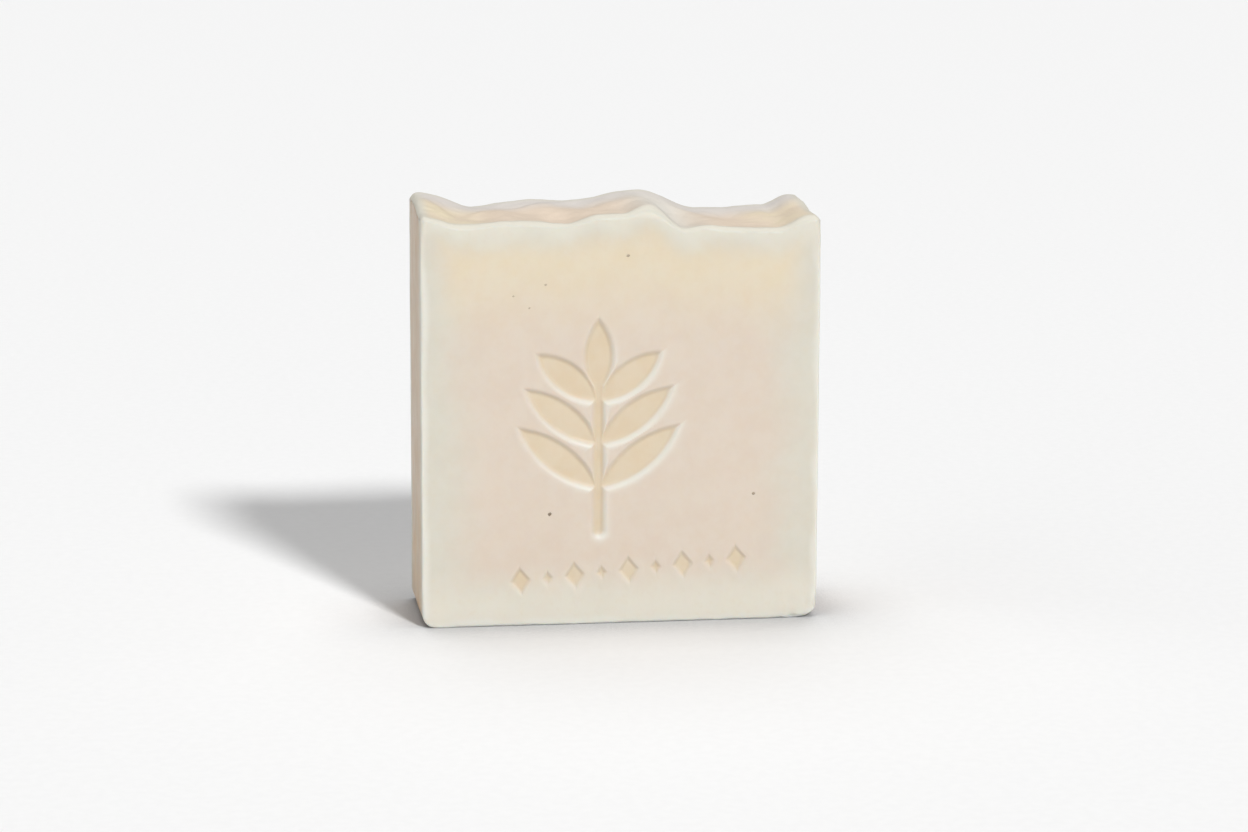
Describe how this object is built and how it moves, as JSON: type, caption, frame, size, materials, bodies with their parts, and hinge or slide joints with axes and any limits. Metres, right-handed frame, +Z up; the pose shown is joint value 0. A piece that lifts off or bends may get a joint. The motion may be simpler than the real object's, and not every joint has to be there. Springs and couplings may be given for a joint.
{
  "type": "soap bar",
  "caption": "Upright square slice of cast soap with a rough spooned top and a leafy sprig stamped into its front cut face.",
  "frame": {"origin": "middle of the moulded base, on the surface the bar stands on", "axes": "+Z up from the moulded base to the rough top; X along the width between the two mould walls; -Y out of the stamped cut face and +Y out of the plain back cut face"},
  "size_m": [0.076, 0.025, 0.0802],
  "materials": {
    "soap": "waxy satin, cut by wire and planed by hand, slightly translucent",
    "dried_skin": "chalky matt, ruffled with a spoon",
    "speck": "dull brown grain"
  },
  "bodies": {
    "root": {"soap_body": "soap", "top_skin": "dried_skin", "dark_specks": "speck"}
  },
  "joints": []
}
